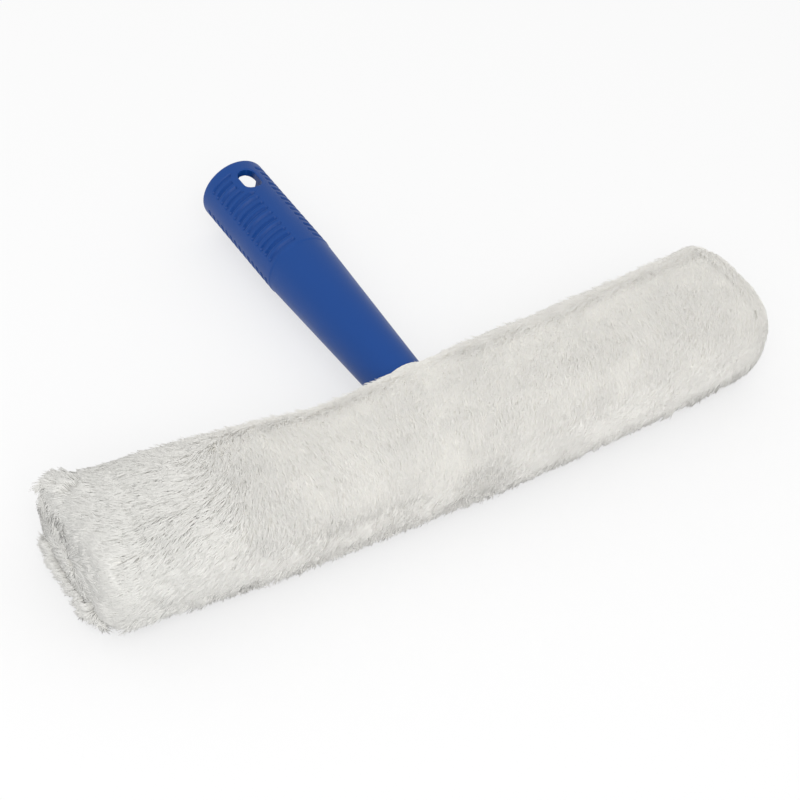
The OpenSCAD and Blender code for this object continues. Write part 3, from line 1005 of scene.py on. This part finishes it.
stitch_middle = np.linspace(0, 2 * math.pi, stitch_count, endpoint=False)
stitch_half = 0.3 * 2 * math.pi / stitch_count
hem_outward = np.stack([-np.sin(stitch_middle), 0 * stitch_middle, np.cos(stitch_middle)], -1)
hem_thread = stitch_row("hem_stitches", round_hem(stitch_middle - stitch_half),
                        round_hem(stitch_middle + stitch_half), hem_outward, "tool")


# Loop tape and hook tape
# The closure: a brushed loop tape sewn on the sleeve, and a moulded hook tape under the tongue
# of the flap. Each is a thin base with its own loops or hooks standing on it.

tape_room = 1.2 * MM
tape_base = 0.45 * MM
loop_r = 0.08 * MM
hook_r = 0.12 * MM
tape_low = (-fabric_x + 2 * MM, cross_y - 11.5 * MM)
tape_size = (19 * MM, 23 * MM)
loop_low = axis_z + fabric_z + layer_gap
hook_low = loop_low + tape_room + layer_gap


def tape_sheet(name, middle_z):
    """A flat rectangular grid at one height."""
    rows, columns = 20, 24
    x, y = np.meshgrid(tape_low[0] + np.linspace(0, tape_size[0], rows),
                       tape_low[1] + np.linspace(0, tape_size[1], columns), indexing="ij")
    piece = grid_piece(name, np.stack([x, y, np.full(x.shape, middle_z)], -1), wrap=False)
    thicken(piece, tape_base)
    return piece


def tape_places(rows, columns, height, seed):
    """A slightly jittered grid of points inside the tape's edge, at one height."""
    x, y = np.meshgrid(np.linspace(0.05, 0.92, rows), np.linspace(0.04, 0.96, columns),
                       indexing="ij")
    jitter = np.random.default_rng(seed).normal(0, 0.004, (2, rows * columns))
    return np.stack([tape_low[0] + (x.reshape(-1) + jitter[0]) * tape_size[0],
                     tape_low[1] + (y.reshape(-1) + jitter[1]) * tape_size[1],
                     np.full(rows * columns, height)], -1)


loop_tape = tape_sheet("loop_tape_base", loop_low + tape_base / 2)
dress(loop_tape, woven_cloth("loop_tape_knit", (0.72, 0.72, 0.70, 1.0), (0.86, 0.86, 0.84, 1.0),
                             0.7 * MM))
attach(loop_tape, "tool")
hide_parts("loop_tape")
loop_foot = tape_places(24, 30, loop_low + tape_base, 61)
loops = strand_mesh("tape_loops", loop_foot, loop_foot + (0.4 * MM, 0.2 * MM, 1.3 * MM),
                    loop_foot + (0.9 * MM, 0.1 * MM, 0), loop_r, 0.6)
dress(loops, yarn)
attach(loops, "tool")


def hook_polyamide(name):
    """Moulded hook tape: milky polyamide, slightly uneven in its tone."""
    material, tree, shader = new_material(name, Roughness=0.45, Specular_IOR_Level=0.4)
    skin = place_group(tree, moulded_grain, Vector=object_place(tree))
    paint(tree, shader, skin.outputs["Gloss"], (0.70, 0.70, 0.68, 1.0), (0.84, 0.84, 0.82, 1.0))
    return material


hook_plastic = hook_polyamide("hook_polyamide")
hook_tape = tape_sheet("hook_tape_base", hook_low + tape_room - tape_base / 2)
dress(hook_tape, hook_plastic)
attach(hook_tape, "flap")
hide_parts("hook_tape")
hook_foot = tape_places(15, 19, hook_low + tape_room - tape_base, 62)
hooks = strand_mesh("tape_hooks", hook_foot, hook_foot - (0.1 * MM, 0, 1.2 * MM),
                    hook_foot + (0.6 * MM, 0, -0.45 * MM), hook_r, 0.5)
dress(hooks, hook_plastic)
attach(hooks, "flap")


# Closure flap
# The left end's woven panel, its tongue with the hook tape, and the fold that joins it to the
# lower edge of the sleeve. The fold is attached to neither body.

panel_x = -flap_x - cloth_room / 2
tongue_middle = fabric_z + 2 * (layer_gap + tape_room) + layer_gap + cloth_room / 2
tongue_bend = 2 * MM
seam_inset = 1.2 * MM
stitch_length = 1.1 * MM


def ribbon(name, path, half_width, seed):
    """A path of (x, z) points carried across the tool, waved a little along its length."""
    columns = 24
    y = np.linspace(-half_width, half_width, columns)
    wave = 0.12 * MM * wave_noise(path[:, :1] * np.ones(columns), y * np.ones((len(path), 1)),
                                  9 * MM, seed)
    x = path[:, :1] + 0 * y
    points = np.stack([x, cross_y + y + 0 * x, axis_z + path[:, 1:] + wave], -1)
    return grid_piece(name, points, wrap=False)


flap_panel = end_cloth("flap_panel", panel_x, -end_dome)
thicken(flap_panel, cloth)
bend = arc_points((panel_x + tongue_bend, tongue_middle - tongue_bend), tongue_bend, 180, 90, 8)
rise = np.column_stack([np.full(2, panel_x), np.linspace(fabric_z - 0.4 * MM, bend[0, 1], 3)[:-1]])
run = np.column_stack([np.linspace(bend[-1, 0], -tongue_end, 30)[1:], np.full(29, tongue_middle)])
tongue_path = np.concatenate([rise, bend, run])
flap_tongue = ribbon("flap_tongue", tongue_path, tongue_half, 71)
thicken(flap_tongue, cloth)
for piece in (flap_panel, flap_tongue):
    dress(piece, backing_cloth)
    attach(piece, "flap")
    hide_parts("closure_flap")

edge_row = np.linspace(-tongue_half + seam_inset, tongue_half - 2 * MM, 15)
seam_z = axis_z + tongue_middle + cloth / 2
stitch_start = np.concatenate([
    np.stack([np.full(15, tape_low[0] + inset), cross_y + edge_row, np.full(15, seam_z)], -1)
    for inset in (seam_inset, tape_size[0] - seam_inset)])
tongue_thread = stitch_row("tongue_stitches", stitch_start, stitch_start + (0, stitch_length, 0),
                           np.array([0, 0, 1.0]), "flap")

fold_cloth = 0.6 * MM
under_z = -fabric_z - 0.5 * MM
outer_x = -flap_x - cloth_room - 0.4 * MM
turn_r = 1.2 * MM
corner_arc = arc_points((outer_x + turn_r, under_z + turn_r), turn_r, 270, 180, 7)
below = np.column_stack([np.linspace(-fabric_x + 10 * MM, corner_arc[0, 0], 14),
                         np.full(14, under_z)])
beside = np.column_stack([np.full(5, outer_x),
                          np.linspace(corner_arc[-1, 1], -fabric_z + 5 * MM, 6)[1:]])
fold_path = np.concatenate([below, corner_arc[1:], beside])
fold_strip = ribbon("flap_fold", fold_path, fabric_y - fabric_edge_r, 72)
thicken(fold_strip, fold_cloth)
dress(fold_strip, backing_cloth)
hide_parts("closure_flap")
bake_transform(fold_strip)


# Base of the pile
# The dense feet of the tufts, which fill the room between the backing and the loose tips. One
# closed skin is cut into the part on the sleeve, the two ends and the part on the tongue.

cut_room = 0.4 * MM


def pile_skin(rows, columns):
    """The pile's outline at a steady depth, uneven with noise, closed at the middle of each end."""
    along = np.linspace(-whole_reach, whole_reach, rows)
    distance = np.linspace(0, girth, columns, endpoint=False)
    a, b = np.meshgrid(along, distance, indexing="ij")
    fade = smooth_step(whole_reach - np.abs(a), 0, 8 * MM)
    depth = mat_depth + 0.5 * MM * fade * wave_noise(a, b, 7 * MM, 31)
    piece = grid_piece("pile_skin", pile_point(a, angle_at(b), depth), wrap=True)
    weld(piece)
    return piece


def block(low_x, high_x, half_y, low_z, high_z):
    """A closed box across the tool."""
    outline = np.array([[-half_y, low_z], [half_y, low_z], [half_y, high_z], [-half_y, high_z]])
    return prism("block", outline + (cross_y, axis_z), low_x, high_x, 0)


def matted_yarn(name):
    """The matted feet of the yarn: warm white, mottled and rough."""
    material, tree, shader = new_material(name, Roughness=0.9, Specular_IOR_Level=0.1)
    fluff = add_node(tree, "ShaderNodeTexNoise", {
        "Vector": object_place(tree), "Scale": 900.0, "Detail": 4.0}).outputs["Fac"]
    paint(tree, shader, fluff, (0.92, 0.90, 0.84, 1.0), (0.96, 0.945, 0.90, 1.0))
    raise_relief(tree, shader, fluff, 0.6, 0.4 * MM)
    return material


base_material = matted_yarn("pile_base")


def pile_base(name, keep, body, node):
    """The part of the pile's skin inside one box, on the body that it rides."""
    piece = bpy.data.objects.new(name, skin.data.copy())
    bpy.context.scene.collection.objects.link(piece)
    combine(piece, keep, "INTERSECT")
    dress(piece, base_material)
    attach(piece, body)
    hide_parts(node)
    return piece


skin = pile_skin(300, 110)
far = 2 * pile_y
over_tongue = tongue_middle + cloth_room / 2 + layer_gap
panel_face = flap_x + cloth_room + layer_gap
sleeve_base = pile_base("sleeve_pile_base", block(-fabric_x, fabric_x, far, -far, far), "tool",
                        "sleeve_pile")
core = prism("core", section_ring(0.2 * MM) + (cross_y, axis_z), -pile_x, pile_x, 0)
under_tongue = block(-pile_x, -tongue_end + cut_room, tongue_half + cut_room, 0, far)
for cut in (core, under_tongue, neck_plug(0.2 * MM)):
    combine(sleeve_base, cut, "DIFFERENCE")
pile_base("end_pile_base", block(fabric_x + cloth_room + 2 * layer_gap, 2 * pile_x, far, -far, far),
          "tool", "end_panel_pile")
flap_base = pile_base("flap_pile_base", block(-2 * pile_x, -panel_face, far, -fabric_z, far),
                      "flap", "flap_pile")
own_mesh(flap_base)
pile_base("tongue_pile_base", block(-panel_face, -tongue_end, tongue_half, over_tongue, far),
          "flap", "flap_pile")
bpy.data.objects.remove(skin)


# Floor, light and camera
# A plain pale floor under one large soft lamp and a white sky, seen from the photograph's place.
# The floor's own white shows only to the camera and in reflections.

floor_white = 0.62
sky_strength = 0.78


def flat_plane(name, half, z):
    """A square floor."""
    points = np.array([[-half, -half, z], [half, -half, z], [half, half, z], [-half, half, z]])
    return make_piece(name, points, [np.array([[0, 1, 2, 3]])], smooth=False)


floor = flat_plane("floor", 6.0, 0.0)
floor_material, floor_tree, floor_shader = new_material("floor_paper", Roughness=0.9,
                                                        Specular_IOR_Level=0.0)
floor_shader.inputs["Base Color"].default_value = (0.9, 0.9, 0.9, 1.0)
ray = add_node(floor_tree, "ShaderNodeLightPath").outputs
direct = maths(floor_tree, "MAXIMUM", ray["Is Camera Ray"], ray["Is Glossy Ray"])
seen = maths(floor_tree, "MAXIMUM", direct, ray["Is Transmission Ray"])
white = add_node(floor_tree, "ShaderNodeEmission", {"Color": (1, 1, 1, 1), "Strength": 1.0})
blend = add_node(floor_tree, "ShaderNodeMixShader", {
    0: maths(floor_tree, "MULTIPLY", seen, floor_white), 1: floor_shader.outputs[0],
    2: white.outputs[0]})
output = floor_tree.nodes["Material Output"]
floor_tree.links.new(blend.outputs[0], output.inputs["Surface"])
floor.data.materials.append(floor_material)

world = bpy.data.worlds.new("studio")
bpy.context.scene.world = world
world.use_nodes = True
sky = world.node_tree.nodes["Background"]
sky.inputs["Color"].default_value = (1.0, 1.0, 1.0, 1.0)
sky.inputs["Strength"].default_value = sky_strength


def facing(place, back, roll=0.0):
    """The matrix of a lamp or camera at a place, with its back this way and its side level, or
    rolled from level about its axis."""
    back = back / np.linalg.norm(back)
    side = np.cross([0.0, 0, 1], back)
    side /= np.linalg.norm(side)
    up = np.cross(back, side)
    turn = np.eye(4)
    turn[:3, 0] = side * math.cos(roll) + up * math.sin(roll)
    turn[:3, 1] = up * math.cos(roll) - side * math.sin(roll)
    turn[:3, 2] = back
    turn[:3, 3] = place
    return Matrix(turn)


def soft_lamp(name, place, aim, size, power):
    """A large square lamp that faces its aim."""
    lamp = bpy.data.lights.new(name, "AREA")
    lamp.size = size
    lamp.energy = power
    holder = bpy.data.objects.new(name, lamp)
    bpy.context.scene.collection.objects.link(holder)
    holder.matrix_world = facing(place, np.array(place) - np.array(aim))


soft_lamp("window_light", (-0.7, -0.9, 1.3), (0, 0, 0), 1.2, 13.0)

camera_azimuth = math.radians(-41.32)
camera_elevation = math.radians(44.79)
camera_roll = math.radians(10.93)
camera_distance = 0.9
camera_aim = np.array([-5.66 * MM, cross_y + 20.68 * MM, axis_z])
focal_pixels = 2030.4
image_pixels = 800
sensor_width = 36
camera = bpy.data.objects.new("camera", bpy.data.cameras.new("camera"))
bpy.context.scene.collection.objects.link(camera)
camera.data.sensor_width = sensor_width
camera.data.lens = sensor_width * focal_pixels / image_pixels
camera.data.clip_start = 0.05
camera_back = np.array([math.sin(camera_azimuth) * math.cos(camera_elevation),
                        -math.cos(camera_azimuth) * math.cos(camera_elevation),
                        math.sin(camera_elevation)])
camera_place = camera_aim + camera_back * camera_distance
camera.matrix_world = facing(camera_place, camera_back, camera_roll)
bpy.context.scene.camera = camera
bpy.context.scene.view_settings.view_transform = "Standard"
